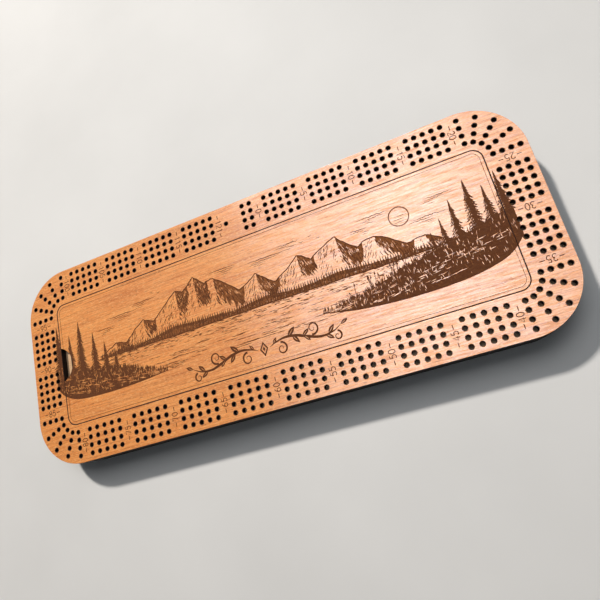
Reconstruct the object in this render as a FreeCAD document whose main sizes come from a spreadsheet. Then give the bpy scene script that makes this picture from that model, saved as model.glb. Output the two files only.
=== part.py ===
import FreeCAD, Part
import math
import os

import Sketcher

# A cribbage board that is also a box. Five sheets of plywood are glued in a stack: a base, three
# frames with a well for cards and pegs, and a top sheet with the peg holes. The lid is let into the
# top sheet, rests on a ledge and lifts straight out by a finger notch in its left end.
# Millimetres. +Z is up, +X runs along the board, and the origin is the centre of its underside.

doc = FreeCAD.newDocument("cribbage_board")

# ------------------------------------------------------------------------- driving dimensions

SIZES = [
    ("sheet_thickness", 5.3, "every plywood sheet, and so the lid"),
    ("card_length", 88.9, "poker-size card, across the board"),
    ("card_width", 63.5, "poker-size card, along the board"),
    ("card_corner_radius", 3.2, ""),
    ("deck_height", 15.0, "52 cards, bare"),
    ("deck_end_gap", 0.8, "from the deck's short edges to the long walls of the well"),
    ("deck_side_gap", 1.25, "from the deck's long edges to the dividers"),
    ("divider_thickness", 8.0, "between the card bay and the bay on each side of it"),
    ("finger_gap", 24.0, "opening in the middle of each divider, to pinch the deck"),
    ("side_bay_length", 129.5, "peg bay and spare bay, along the board"),
    ("bay_corner_radius", 3.0, ""),
    ("ledge_width", 4.5, "shelf under the rim of the lid"),
    ("lid_gap", 0.2, "kerf all round the lid"),
    ("lid_corner_radius", 7.3, ""),
    ("notch_radius", 14.5, "finger notch in the lid's left end"),
    ("notch_depth", 9.4, ""),
    ("side_rail", 29.45, "from the lid opening to the board's long edge"),
    ("end_rail", 28.2, "from the lid opening to the board's end"),
    ("board_corner_radius", 38.0, ""),
    ("side_margin", 5.4, "from the long edge to the outermost track"),
    ("end_margin", 4.8, "from the end to the outermost track"),
    ("side_track_pitch", 6.0, "between tracks along the long edges"),
    ("end_track_pitch", 5.75, "between tracks along the ends"),
    ("fan_inner_radius", 13.95, "innermost track round a corner"),
    ("fan_label_gap", 11.0, "from a corner's last row to the first row of a long edge"),
    ("start_zone", 22.96, "from the middle of the long edge to the nearest street"),
    ("start_first", 4.7, "from the middle of the long edge to the first start row"),
    ("finish_offset", 10.6, "from the middle of the long edge to the finish hole"),
    ("hole_across", 3.2, "peg hole, across its flats"),
    ("peg_length", 32.0, ""),
    ("peg_diameter", 3.0, "to slide into a hole of 3.2"),
    ("peg_pitch", 17.0, "between pegs that lie side by side"),
    ("peg_row_pitch", 42.0, "between the two rows of pegs"),
    ("peg_rest_gap", 0.3, "under a peg, where it lies loose on the base"),
]

# Sizes that follow from those, from the cards outwards to the board's own edges.
DERIVED = [
    ("card_bay_length", "card_width + 2 * deck_side_gap"),
    ("well_width", "card_length + 2 * deck_end_gap"),
    ("well_length", "card_bay_length + 2 * divider_thickness + 2 * side_bay_length"),
    ("side_bay_inner", "card_bay_length / 2 + divider_thickness"),
    ("side_bay_centre", "side_bay_inner + side_bay_length / 2"),
    ("finger_slot_length", "2 * side_bay_inner + 2 * bay_corner_radius"),
    ("opening_length", "well_length + 2 * ledge_width"),
    ("opening_width", "well_width + 2 * ledge_width"),
    ("opening_corner_radius", "lid_corner_radius + lid_gap"),
    ("lid_length", "opening_length - 2 * lid_gap"),
    ("lid_width", "opening_width - 2 * lid_gap"),
    ("notch_centre", "lid_length / 2 - notch_depth + notch_radius"),
    ("board_length", "opening_length + 2 * end_rail"),
    ("board_width", "opening_width + 2 * side_rail"),
    ("peg_axis_height", "sheet_thickness + peg_rest_gap + peg_diameter / 2"),
]

sizes = doc.addObject("Spreadsheet::Sheet", "Sizes")
for row, (alias, value, note) in enumerate(SIZES, start=1):
    sizes.set(f"A{row}", alias)
    sizes.set(f"B{row}", str(value))
    sizes.set(f"C{row}", note)
    sizes.setAlias(f"B{row}", alias)
for row, (alias, formula) in enumerate(DERIVED, start=len(SIZES) + 2):
    sizes.set(f"A{row}", alias)
    sizes.set(f"B{row}", "=" + formula)
    sizes.setAlias(f"B{row}", alias)
doc.recompute()


def size(alias):
    """A cell's value, for what is worked out in code."""
    return float(getattr(sizes, alias))


def from_sheet(formula):
    """The same formula, with each size looked up in the sheet."""
    names = {alias for alias, *_ in SIZES + DERIVED}
    words = formula.replace("(", " ( ").replace(")", " ) ").split()
    return " ".join(f"Sizes.{w}" if w in names else w for w in words)


# --------------------------------------------------------------------- sketches and features


def new_body(name):
    body = doc.addObject("PartDesign::Body", name)
    body.Label = name
    return body


def new_sketch(body, name, role="XY_Plane"):
    """A sketch on one of the body's own origin planes."""
    plane = next(f for f in body.Origin.OriginFeatures if f.Role == role)
    sketch = body.newObject("Sketcher::SketchObject", name)
    sketch.AttachmentSupport = [(plane, "")]
    sketch.MapMode = "FlatFace"
    return sketch


def tie(sketch, name, formula, kind, *places):
    """A dimension of the sketch, named and driven by the sheet."""
    start = sketch.ConstraintCount
    sketch.addConstraint(Sketcher.Constraint(kind, *places))
    sketch.renameConstraint(start, name)
    sketch.setExpression(f"Constraints.{name}", from_sheet(formula))


def rounded_rectangle(sketch, tag, length, width, radius, centre=0.0, right=None):
    """A rectangle with round corners, its middle on the sketch's X axis.

    length, width and radius name sizes. centre is where to draw it first, and right is the
    formula for its right side's distance from the origin; a negative one lies to the left.
    """
    half_x = size(length) / 2
    half_y = size(width) / 2
    r = size(radius)
    up = FreeCAD.Vector(0, 0, 1)
    first = sketch.GeometryCount
    for sx, sy, start in ((1, -1, 270), (1, 1, 0), (-1, 1, 90), (-1, -1, 180)):
        middle = FreeCAD.Vector(centre + sx * (half_x - r), sy * (half_y - r), 0)
        begin = math.radians(start)
        arc = Part.ArcOfCircle(Part.Circle(middle, up, r), begin, begin + math.pi / 2)
        sketch.addGeometry(arc, False)
    for index in range(4):
        begin = sketch.getPoint(first + index, 2)
        end = sketch.getPoint(first + (index + 1) % 4, 1)
        sketch.addGeometry(Part.LineSegment(begin, end), False)
    right_side, top_side, left_side, bottom_side = range(first + 4, first + 8)
    for index in range(4):
        corner, side, next_corner = first + index, first + 4 + index, first + (index + 1) % 4
        sketch.addConstraint(Sketcher.Constraint("Tangent", corner, 2, side, 1))
        sketch.addConstraint(Sketcher.Constraint("Tangent", side, 2, next_corner, 1))
    for side in (right_side, left_side):
        sketch.addConstraint(Sketcher.Constraint("Vertical", side))
    for side in (top_side, bottom_side):
        sketch.addConstraint(Sketcher.Constraint("Horizontal", side))
    for corner in range(first + 1, first + 4):
        sketch.addConstraint(Sketcher.Constraint("Equal", first, corner))
    edge = right or f"{length} / 2"
    tie(sketch, tag + "_radius", radius, "Radius", first, r)
    tie(sketch, tag + "_length", length, "DistanceX", left_side, 1, right_side, 1, 2 * half_x)
    tie(sketch, tag + "_width", width, "DistanceY", bottom_side, 1, top_side, 1, 2 * half_y)
    tie(sketch, tag + "_right", edge, "DistanceX", -1, 1, right_side, 1, centre + half_x)
    tie(sketch, tag + "_top", f"{width} / 2", "DistanceY", -1, 1, top_side, 1, half_y)


def pad(body, sketch, name, length):
    feature = body.newObject("PartDesign::Pad", name)
    feature.Profile = sketch
    feature.Length = size(length)
    feature.setExpression("Length", from_sheet(length))
    sketch.Visibility = False
    return feature


def cut_through(body, sketch, name):
    """A pocket from the underside up through the whole sheet."""
    feature = body.newObject("PartDesign::Pocket", name)
    feature.Profile = sketch
    feature.Type = "ThroughAll"
    feature.Reversed = True
    sketch.Visibility = False
    before = body.Shape.Volume
    doc.recompute()
    if not body.Shape.Volume < before:
        raise RuntimeError(f"{name} cuts nothing")
    return feature


def set_level(body, sheets_below):
    """Puts a sheet on top of so many others."""
    body.setExpression("Placement.Base.z", from_sheet(f"sheet_thickness * {sheets_below}"))


# -------------------------------------------------------------------------------- the sheets

BASE_LEVEL, LOWER_LEVEL, MIDDLE_LEVEL, UPPER_LEVEL, TOP_LEVEL = range(5)


def plain_sheet(name, level):
    """A whole sheet, cut to the board's outline."""
    body = new_body(name)
    outline = new_sketch(body, name + "_outline")
    rounded_rectangle(outline, "board", "board_length", "board_width", "board_corner_radius")
    pad(body, outline, name + "_pad", "sheet_thickness")
    set_level(body, level)
    doc.recompute()
    return body


def frame_sheet(name, level):
    """A sheet with the three bays of the well, joined by finger gaps through the dividers."""
    body = plain_sheet(name, level)
    bays = new_sketch(body, name + "_bays")
    rounded_rectangle(bays, "cards", "card_bay_length", "well_width", "bay_corner_radius")
    for side, tag, right in (
        (-1, "pegs", "0 - side_bay_inner"),
        (1, "spare", "side_bay_inner + side_bay_length"),
    ):
        centre = side * size("side_bay_centre")
        rounded_rectangle(
            bays, tag, "side_bay_length", "well_width", "bay_corner_radius", centre, right
        )
    cut_through(body, bays, name + "_bay_pocket")
    slot = new_sketch(body, name + "_finger_gaps")
    rounded_rectangle(slot, "gap", "finger_slot_length", "finger_gap", "bay_corner_radius")
    cut_through(body, slot, name + "_finger_gap_pocket")
    return body


base_sheet = plain_sheet("base_sheet", BASE_LEVEL)
frame_lower = frame_sheet("frame_lower", LOWER_LEVEL)
frame_middle = frame_sheet("frame_middle", MIDDLE_LEVEL)
frame_upper = frame_sheet("frame_upper", UPPER_LEVEL)

top_blank = plain_sheet("top_blank", TOP_LEVEL)
opening = new_sketch(top_blank, "lid_opening")
rounded_rectangle(
    opening, "opening", "opening_length", "opening_width", "opening_corner_radius"
)
cut_through(top_blank, opening, "lid_opening_pocket")

# ----------------------------------------------------------------------------- the peg holes

# Four tracks of 120 holes run round the board in streets of five, with a label's width between
# streets. Each corner is a fan of five rows. Two start rows and one finish hole lie on the far
# long edge, between the last street and the first.
TRACKS = 4
STREET = 5
FAR_STREETS_PER_HALF = 4
NEAR_STREETS = 8
LABEL_GAP_IN_HOLES = 2
FAR_LABEL_GAP_IN_HOLES = 2.02
START_ROWS = 2
HOLE_SIDES = 6
CUTTER_OVERRUN = 1.0


def street_offsets(streets, span, label_gap):
    """Distances of every hole row of a straight run, from 0 to span, in streets of five."""
    pitch = span / (streets * (STREET - 1) + (streets - 1) * label_gap)
    period = (STREET - 1 + label_gap) * pitch
    return [s * period + h * pitch for s in range(streets) for h in range(STREET)], pitch


def hole_centres():
    """Every peg hole's centre, seen from above."""
    centres = []
    half_length = size("board_length") / 2
    half_width = size("board_width") / 2
    side_pitch = size("side_track_pitch")
    end_pitch = size("end_track_pitch")
    inner = size("fan_inner_radius")
    fan_x = half_length - size("end_margin") - (TRACKS - 1) * end_pitch - inner
    fan_y = half_width - size("side_margin") - (TRACKS - 1) * side_pitch - inner
    run_end = fan_x - size("fan_label_gap")
    side_tracks = [fan_y + inner + track * side_pitch for track in range(TRACKS)]

    # the near long edge: eight streets, evenly spaced
    near, _ = street_offsets(NEAR_STREETS, 2 * run_end, LABEL_GAP_IN_HOLES)
    centres += [(along - run_end, -y) for along in near for y in side_tracks]

    # the far long edge: four streets on each side of the start and finish
    start_zone = size("start_zone")
    far, pitch = street_offsets(
        FAR_STREETS_PER_HALF, run_end - start_zone, FAR_LABEL_GAP_IN_HOLES
    )
    for side in (-1, 1):
        centres += [(side * (start_zone + along), y) for along in far for y in side_tracks]
    for start in range(START_ROWS):
        centres += [(size("start_first") + start * pitch, y) for y in side_tracks]
    centres.append((-size("finish_offset"), (side_tracks[0] + side_tracks[-1]) / 2))

    # the ends: two streets, a label's gap apart and a label's gap from each fan
    end_row_pitch = fan_y / (STREET + LABEL_GAP_IN_HOLES)
    quarter = math.pi / 2
    for side_x in (-1, 1):
        for side_y in (-1, 1):
            for row in range(STREET):
                y = side_y * (row + 1) * end_row_pitch
                angle = quarter * row / (STREET - 1)
                for track in range(TRACKS):
                    reach_x = inner + track * end_pitch
                    reach_y = inner + track * side_pitch
                    centres.append((side_x * (fan_x + reach_x), y))
                    centres.append(
                        (
                            side_x * (fan_x + reach_x * math.cos(angle)),
                            side_y * (fan_y + reach_y * math.sin(angle)),
                        )
                    )
    return centres


def hole_cutter(x, y):
    """One peg hole: a six-sided prism whose flats lie on the round hole's wall."""
    corner = size("hole_across") / 2 / math.cos(math.pi / HOLE_SIDES)
    bottom = TOP_LEVEL * size("sheet_thickness") - CUTTER_OVERRUN
    points = []
    for index in range(HOLE_SIDES + 1):
        angle = 2 * math.pi * index / HOLE_SIDES
        px = x + corner * math.cos(angle)
        py = y + corner * math.sin(angle)
        points.append(FreeCAD.Vector(px, py, bottom))
    height = size("sheet_thickness") + 2 * CUTTER_OVERRUN
    return Part.Face(Part.makePolygon(points)).extrude(FreeCAD.Vector(0, 0, height))


peg_holes = doc.addObject("Part::Feature", "peg_holes")
peg_holes.Shape = Part.makeCompound([hole_cutter(x, y) for x, y in hole_centres()])

top_sheet = doc.addObject("Part::Cut", "top_sheet")
top_sheet.Label = "top_sheet"
top_sheet.Base = top_blank
top_sheet.Tool = peg_holes

# --------------------------------------------------------------------------------- the lid

lid_panel = new_body("lid_panel")
lid_outline = new_sketch(lid_panel, "lid_outline")
rounded_rectangle(lid_outline, "lid", "lid_length", "lid_width", "lid_corner_radius")
pad(lid_panel, lid_outline, "lid_pad", "sheet_thickness")
set_level(lid_panel, TOP_LEVEL)
doc.recompute()

notch = new_sketch(lid_panel, "finger_notch")
notch_middle = FreeCAD.Vector(-size("notch_centre"), 0, 0)
notch.addGeometry(Part.Circle(notch_middle, FreeCAD.Vector(0, 0, 1), size("notch_radius")), False)
notch.addConstraint(Sketcher.Constraint("PointOnObject", 0, 3, -1))
tie(notch, "notch_radius", "notch_radius", "Radius", 0, size("notch_radius"))
tie(notch, "notch_centre", "notch_centre", "DistanceX", 0, 3, -1, 1, size("notch_centre"))
cut_through(lid_panel, notch, "finger_notch_pocket")

# --------------------------------------------------------------------------- cards and pegs

card_deck = new_body("card_deck")
card = new_sketch(card_deck, "card_outline")
rounded_rectangle(card, "card", "card_width", "card_length", "card_corner_radius")
pad(card_deck, card, "card_stack", "deck_height")
set_level(card_deck, LOWER_LEVEL)

# Three pegs for each of the four tracks, lying on the base in two rows of six. Each was dropped in
# by hand, so each lies at its own small angle.
PEG_COLOURS = ("red", "blue", "green", "yellow")
PEGS_PER_COLOUR = 3
PEG_COLUMNS = 6
PEG_ANGLES = (4.0, -6.0, 2.5, -3.0, 7.0, -1.5, 5.5, -4.0, 3.0, -7.5, 1.0, -2.0)


def peg(name, column, row, angle):
    """A straight peg, cut from round rod, that lies across the board at its own angle."""
    body = new_body(name)
    end = new_sketch(body, name + "_end", "XZ_Plane")
    radius = size("peg_diameter") / 2
    origin = FreeCAD.Vector(0, 0, 0)
    end.addGeometry(Part.Circle(origin, FreeCAD.Vector(0, 0, 1), radius), False)
    end.addConstraint(Sketcher.Constraint("Coincident", 0, 3, -1, 1))
    tie(end, "diameter", "peg_diameter", "Diameter", 0, 2 * radius)
    rod = pad(body, end, name + "_rod", "peg_length")
    rod.Midplane = True
    body.Placement = FreeCAD.Placement(origin, FreeCAD.Rotation(FreeCAD.Vector(0, 0, 1), angle))
    across = column - (PEG_COLUMNS - 1) / 2
    body.setExpression(
        "Placement.Base.x", from_sheet(f"0 - side_bay_centre + peg_pitch * ( {across} )")
    )
    body.setExpression("Placement.Base.y", from_sheet(f"peg_row_pitch * ( {row - 0.5} )"))
    body.setExpression("Placement.Base.z", from_sheet("peg_axis_height"))
    return body


pegs = []
for number, angle in enumerate(PEG_ANGLES):
    colour = PEG_COLOURS[number // PEGS_PER_COLOUR]
    name = f"peg_{colour}_{number % PEGS_PER_COLOUR + 1}"
    pegs.append(peg(name, number % PEG_COLUMNS, number // PEG_COLUMNS, angle))

# ------------------------------------------------------------------------- check and write

doc.recompute()
SUBPARTS = [base_sheet, frame_lower, frame_middle, frame_upper, top_sheet, lid_panel, card_deck]
SUBPARTS += pegs

for thing in doc.Objects:
    if "Invalid" in thing.State or "Error" in thing.State:
        raise RuntimeError(f"{thing.Label} did not compute: {thing.State}")
for thing in SUBPARTS:
    shape = thing.Shape
    if shape.isNull() or not shape.isValid() or len(shape.Solids) != 1:
        raise RuntimeError(f"{thing.Label} is not one valid solid")

os.makedirs("parts", exist_ok=True)
for thing in SUBPARTS:
    thing.Shape.exportStep(f"parts/{thing.Label}.step")
    box = thing.Shape.BoundBox
    low = f"({box.XMin:.2f}, {box.YMin:.2f}, {box.ZMin:.2f})"
    high = f"({box.XMax:.2f}, {box.YMax:.2f}, {box.ZMax:.2f})"
    print(f"{thing.Label}: {low} to {high}, {thing.Shape.Volume:.1f} mm3")
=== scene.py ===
# A cribbage board that is also a box. Five sheets of laser-cut plywood are glued in a stack, a flush
# lid is let into the top one, and the well below holds a pack of cards and twelve pegs.
# Metres. +Z is up, +X runs along the board away from the finger notch, and +Y points across it,
# towards the long edge with the start and finish.

import math
import random

import bpy
from mathutils import Matrix, Vector
from mathutils.geometry import delaunay_2d_cdt


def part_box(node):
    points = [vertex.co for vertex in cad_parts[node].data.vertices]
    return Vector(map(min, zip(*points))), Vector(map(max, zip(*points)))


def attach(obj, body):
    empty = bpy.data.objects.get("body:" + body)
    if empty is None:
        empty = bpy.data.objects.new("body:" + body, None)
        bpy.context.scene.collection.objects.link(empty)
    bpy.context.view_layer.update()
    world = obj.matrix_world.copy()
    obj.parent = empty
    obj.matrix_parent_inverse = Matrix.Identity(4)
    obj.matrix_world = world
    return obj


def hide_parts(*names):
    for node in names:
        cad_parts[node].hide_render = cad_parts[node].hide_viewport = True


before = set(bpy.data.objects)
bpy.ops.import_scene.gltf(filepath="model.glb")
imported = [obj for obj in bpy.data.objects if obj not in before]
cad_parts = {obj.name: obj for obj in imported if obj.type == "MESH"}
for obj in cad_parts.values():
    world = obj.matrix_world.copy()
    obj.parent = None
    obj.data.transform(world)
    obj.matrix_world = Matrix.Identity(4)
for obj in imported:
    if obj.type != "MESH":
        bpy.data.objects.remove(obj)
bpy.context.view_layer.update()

# ------------------------------------------------------------------------------- base sheet
# The closed bottom of the box: a sheet of plywood, cut to the board's outline with a laser, which
# chars the edge dark. It is glued under the frames.

mm = 0.001
BOARD_CORNER = 38 * mm
CORNER_STEPS = 18
SMOOTH_UNDER = math.radians(30)
# A broken edge goes this far in from the side and down from the face.
EDGE_IN = 0.14 * mm
EDGE_DOWN = 0.30 * mm
ENGRAVED_STEP = 0.2 * mm
# Corners closer than JOIN are one, and a loop that holds SPILL times its own area has spilled.
JOIN = 1e-7
SPILL = 1.02
NO_AREA = 1e-9


def rounded_rectangle(half_x, half_y, radius, steps=CORNER_STEPS, centre_x=0.0):
    """The points round it, counter-clockwise."""
    points = []
    for side_x, side_y, start in ((1, -1, -90), (1, 1, 0), (-1, 1, 90), (-1, -1, 180)):
        for step in range(steps + 1):
            angle = math.radians(start + 90 * step / steps)
            x = centre_x + side_x * (half_x - radius) + radius * math.cos(angle)
            y = side_y * (half_y - radius) + radius * math.sin(angle)
            points.append((x, y))
    return points


def triangulated(loops):
    """A flat mesh of triangles with every loop's edges in it, and which loops hold each triangle."""
    points = [Vector(p) for loop in loops for p in loop]
    rings = []
    count = 0
    for loop in loops:
        rings.append(range(count, count + len(loop)))
        count += len(loop)
    flat, _, triangles, came_from, _, held_by = delaunay_2d_cdt(points, [], rings, 0, JOIN, True)
    return flat, triangles, came_from, held_by


def edges_of(loop):
    """Its sides, as pairs of neighbouring corners."""
    return zip(loop, loop[1:] + loop[:1])


def area_of(loop):
    """The area inside it."""
    return abs(sum(ax * by - bx * ay for (ax, ay), (bx, by) in edges_of(loop))) / 2


def true_to_shape(loops, flat, triangles, held_by):
    """The loops that hold no more than their own area. Many crossing lines can make one spill."""
    held = [0.0] * len(loops)
    for triangle, holders in zip(triangles, held_by):
        area = area_of([flat[corner] for corner in triangle])
        for loop in holders:
            held[loop] += area
    most = [SPILL * area_of(loop) + NO_AREA for loop in loops]
    return {index for index, area in enumerate(held) if area < most[index]}


def made_piece(name, points, faces, finishes, finish_of=None, smooth_under=SMOOTH_UNDER):
    """A piece of the model. finish_of gives each face's place in the list of finishes."""
    mesh = bpy.data.meshes.new(name)
    mesh.from_pydata(points, [], faces)
    for finish in finishes:
        mesh.materials.append(finish)
    mesh.polygons.foreach_set("material_index", finish_of or [0] * len(faces))
    mesh.polygons.foreach_set("use_smooth", [True] * len(faces))
    mesh.set_sharp_from_angle(angle=smooth_under)
    piece = bpy.data.objects.new(name, mesh)
    bpy.context.scene.collection.objects.link(piece)
    return piece


class Sheet:
    """A flat sheet with openings cut through it and marks engraved in its top, as one closed mesh.

    The outline and each opening are loops of points, and an opening also says whether its edge is
    broken. A mark is a loop, the steps that it is sunk by, and the finish of its floor.
    """

    def __init__(self, outline, openings, low, high, marks=()):
        self.low, self.high = low, high
        self.points, self.index_of = [], {}
        self.faces, self.finishes = [], []
        loops = [outline] + [loop for loop, _ in openings] + [mark[0] for mark in marks]
        first_mark = 1 + len(openings)
        self.flat, triangles, _, held_by = triangulated(loops)
        sound = true_to_shape(loops, self.flat, triangles, held_by)
        # what lies left of a side: the steps that the sheet is sunk by, or if an opening is broken
        self.depth_left_of, self.broken_left_of = {}, {}
        self.depths_at = {}
        # each point of the outline and the openings, and the next one round
        self.rim = {}
        solid = []
        for triangle, holders in zip(triangles, held_by):
            triangle = list(triangle)
            holders = [h for h in holders if h in sound]
            cut = [h for h in holders if 0 < h < first_mark]
            if 0 in holders and not cut:
                steps, finish = 0, "face"
                if max(holders) >= first_mark:
                    steps, finish = marks[max(holders) - first_mark][1:]
                solid.append((triangle, steps, finish))
                for edge in edges_of(triangle):
                    self.depth_left_of[edge] = steps
                for corner in triangle:
                    self.depths_at.setdefault(corner, set()).add(steps)
            elif cut:
                for edge in edges_of(triangle):
                    self.broken_left_of[edge] = openings[max(cut) - 1][1]
        for triangle, steps, finish in solid:
            self.add_face([self.at(corner, self.level(steps)) for corner in triangle], finish)
        self.add_walls(solid)
        self.add_underside()

    def level(self, steps):
        """The height of a floor that is sunk by so many steps."""
        return self.high - steps * ENGRAVED_STEP

    def at(self, corner, z, out=(0.0, 0.0)):
        """The mesh's own point for a flat corner at a height, moved out sideways if asked."""
        key = (corner, round(z / JOIN), out != (0.0, 0.0))
        if key not in self.index_of:
            self.index_of[key] = len(self.points)
            flat = self.flat[corner]
            self.points.append((flat.x + out[0], flat.y + out[1], z))
        return self.index_of[key]

    def add_face(self, corners, finish):
        """A face between points of the mesh, with its finish."""
        self.faces.append(corners)
        self.finishes.append(finish)

    def down(self, corner, from_steps, to_steps=None):
        """The points down an upright edge, at every depth that meets it there."""
        depths = sorted(d for d in self.depths_at[corner] if d >= from_steps)
        if to_steps is not None:
            depths = [d for d in depths if d <= to_steps]
        return [self.at(corner, self.level(d)) for d in depths]

    def add_walls(self, solid):
        """Walls where the depth changes, and round the outline and the openings."""
        outward = {}
        for triangle, steps, _ in solid:
            for a, b in edges_of(triangle):
                beyond = self.depth_left_of.get((b, a))
                if beyond is None:
                    along = (self.flat[b] - self.flat[a]).normalized()
                    away = Vector((along.y, -along.x))
                    self.rim[a] = b
                    for corner in (a, b):
                        outward[corner] = outward.get(corner, Vector((0, 0))) + away
                elif beyond > steps:
                    wall = self.down(a, steps, beyond) + self.down(b, steps, beyond)[::-1]
                    self.add_face(wall, "burnt")
        for a, b in self.rim.items():
            steps = self.depth_left_of[a, b]
            ends = []
            for corner in (a, b):
                chain = [self.at(corner, self.low)]
                if self.broken_left_of.get((b, a), True):
                    out = tuple(outward[corner] * 2 * EDGE_IN / outward[corner].length_squared)
                    for z in (self.low + EDGE_DOWN, self.high - EDGE_DOWN):
                        chain.insert(0, self.at(corner, z, out))
                ends.append(chain)
            near, far = ends
            self.add_face(self.down(a, steps) + [near[0], far[0]] + self.down(b, steps)[::-1], "edge")
            for row in range(len(near) - 1):
                self.add_face([near[row], near[row + 1], far[row + 1], far[row]], "edge")

    def add_underside(self):
        """The flat underside, which shares the walls' lowest points."""
        ahead = dict(self.rim)
        loops = []
        while ahead:
            start, corner = ahead.popitem()
            loop = [start]
            while corner != start:
                loop.append(corner)
                corner = ahead.pop(corner)
            loops.append(loop)
        # the outline reaches furthest left; the openings run the other way round
        loops.sort(key=lambda loop: min(self.flat[c].x for c in loop))
        loops[1:] = [loop[::-1] for loop in loops[1:]]
        corners = [corner for loop in loops for corner in loop]
        flat_loops = [[self.flat[corner] for corner in loop] for loop in loops]
        _, triangles, came_from, held_by = triangulated(flat_loops)
        for triangle, holders in zip(triangles, held_by):
            if list(holders) == [0]:
                ring = [self.at(corners[came_from[v][0]], self.low) for v in triangle]
                self.add_face(ring[::-1], "back")

    def build(self, name, finishes):
        """The piece itself, with the finishes that it needs out of those given by name."""
        used = sorted(set(self.finishes))
        finish_of = [used.index(finish) for finish in self.finishes]
        return made_piece(name, self.points, self.faces, [finishes[f] for f in used], finish_of)


def srgb(red, green, blue):
    """A colour named as on a screen, 0 to 255, in the shader's own units."""
    return tuple((v / 255) ** 2.2 for v in (red, green, blue)) + (1.0,)


def new_finish(name):
    """An empty material, its node tree and its shader."""
    material = bpy.data.materials.new(name)
    material.use_nodes = True
    tree = material.node_tree
    return material, tree, tree.nodes["Principled BSDF"]


def add(tree, kind, *inputs, **settings):
    """A node with its inputs in their own order: each a value, another node's output, or None."""
    node = tree.nodes.new("ShaderNode" + kind)
    for setting, value in settings.items():
        setattr(node, setting, value)
    for socket, value in zip(node.inputs, inputs):
        give(tree, socket, value)
    return node


def give(tree, socket, value):
    """Links another node's output to a socket, or sets it to a value."""
    if isinstance(value, bpy.types.NodeSocket):
        tree.links.new(value, socket)
    elif value is not None:
        socket.default_value = value


def figure(tree, along, across, detail=3.0, roughness=0.5, warp=0.0, lift=1.0):
    """Noise drawn out like grain, in cycles per metre along the board and across it.

    Upwards it has lift times as many as across.
    """
    place = add(tree, "TexCoord").outputs["Object"]
    drawn = add(tree, "Mapping", place, None, None, (along, across, across * lift)).outputs[0]
    noise = add(tree, "TexNoise", drawn, None, 1.0, detail, roughness)
    noise.inputs["Distortion"].default_value = warp
    return noise.outputs[0]


def shades(tree, amount, *stops):
    """A colour for each amount. Each stop is a position and a colour."""
    node = add(tree, "ValToRGB", amount)
    elements = node.color_ramp.elements
    while len(elements) < len(stops):
        elements.new(1.0)
    for element, (position, colour) in zip(elements, stops):
        element.position = position
        element.color = colour
    return node.outputs[0]


def over(tree, share, under, upper):
    """Two colours, the upper laid on the under one by a share."""
    node = add(tree, "Mix", data_type="RGBA")
    sockets = {socket.identifier: socket for socket in (*node.inputs, *node.outputs)}
    give(tree, sockets["Factor_Float"], share)
    give(tree, sockets["A_Color"], under)
    give(tree, sockets["B_Color"], upper)
    return sockets["Result_Color"]


def spread(tree, amount, low, high, to_low=0.0, to_high=1.0):
    """An amount stretched from one range to another, and held there."""
    return add(tree, "MapRange", amount, low, high, to_low, to_high).outputs[0]


def tinted(tree, under, pattern, low, high, most, colour):
    """A colour with another over it where a pattern rises from low to high, up to a share."""
    return over(tree, spread(tree, pattern, low, high, 0.0, most), under, colour)


def surface(tree, shader, colour, roughness):
    """Gives a finish its colour and its roughness."""
    give(tree, shader.inputs["Base Color"], colour)
    give(tree, shader.inputs["Roughness"], roughness)


def relief(tree, shader, height, depth):
    """Bumps of a real depth, in metres."""
    bump = add(tree, "Bump")
    bump.inputs["Distance"].default_value = depth
    give(tree, bump.inputs["Height"], height)
    give(tree, shader.inputs["Normal"], bump.outputs[0])


board_low, board_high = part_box("base_sheet")
SHEET_THICKNESS = board_high.z - board_low.z
PLIES = 5


def plain_ply():
    """The bare inner faces: pale sliced veneer with short dark pores."""
    material, tree, shader = new_finish("plain_ply_face")
    bands = figure(tree, 9, 70, detail=4.0, warp=0.6)
    streaks = figure(tree, 30, 1300, detail=4.0)
    pores = figure(tree, 260, 5200, detail=1.0)
    wood = shades(tree, bands, (0.3, srgb(226, 190, 150)), (0.7, srgb(205, 163, 122)))
    wood = tinted(tree, wood, streaks, 0.45, 0.75, 0.35, srgb(176, 130, 92))
    wood = tinted(tree, wood, pores, 0.62, 0.72, 0.5, srgb(126, 86, 56))
    surface(tree, shader, wood, spread(tree, streaks, 0.3, 0.7, 0.62, 0.78))
    shader.inputs["Specular IOR Level"].default_value = 0.25
    relief(tree, shader, streaks, 0.05 * mm)
    return material


def charred_edge():
    """A laser-cut edge: burnt nearly black, with the plies as faint bands and fine upright ridges."""
    material, tree, shader = new_finish("charred_edge")
    place = add(tree, "TexCoord").outputs["Object"]
    height = add(tree, "SeparateXYZ", place).outputs[2]
    turns = add(tree, "Math", height, PLIES / 2 / SHEET_THICKNESS, operation="MULTIPLY").outputs[0]
    ply = add(tree, "Math", turns, 1.0, operation="PINGPONG").outputs[0]
    soot = figure(tree, 240, 240, detail=5.0, roughness=0.6, lift=0.35)
    ridges = figure(tree, 2600, 2600, detail=2.0, lift=0.04)
    burn = shades(
        tree, soot,
        (0.3, srgb(23, 17, 14)), (0.62, srgb(43, 29, 20)), (0.85, srgb(74, 48, 30)),
    )
    burn = tinted(tree, burn, ply, 0.45, 0.55, 0.5, srgb(20, 14, 12))
    burn = tinted(tree, burn, ridges, 0.5, 0.75, 0.4, srgb(86, 58, 38))
    surface(tree, shader, burn, spread(tree, soot, 0.3, 0.8, 0.62, 0.85))
    shader.inputs["Specular IOR Level"].default_value = 0.2
    relief(tree, shader, ridges, 0.06 * mm)
    return material


PLY = {"face": plain_ply(), "edge": charred_edge()}
PLY["back"] = PLY["face"]

half_board = (board_high.x - EDGE_IN, board_high.y - EDGE_IN)
board_outline = rounded_rectangle(*half_board, BOARD_CORNER - EDGE_IN)

base = Sheet(board_outline, [], board_low.z, board_high.z).build("base", PLY)
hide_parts("base_sheet")
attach(base, "board")

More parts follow.
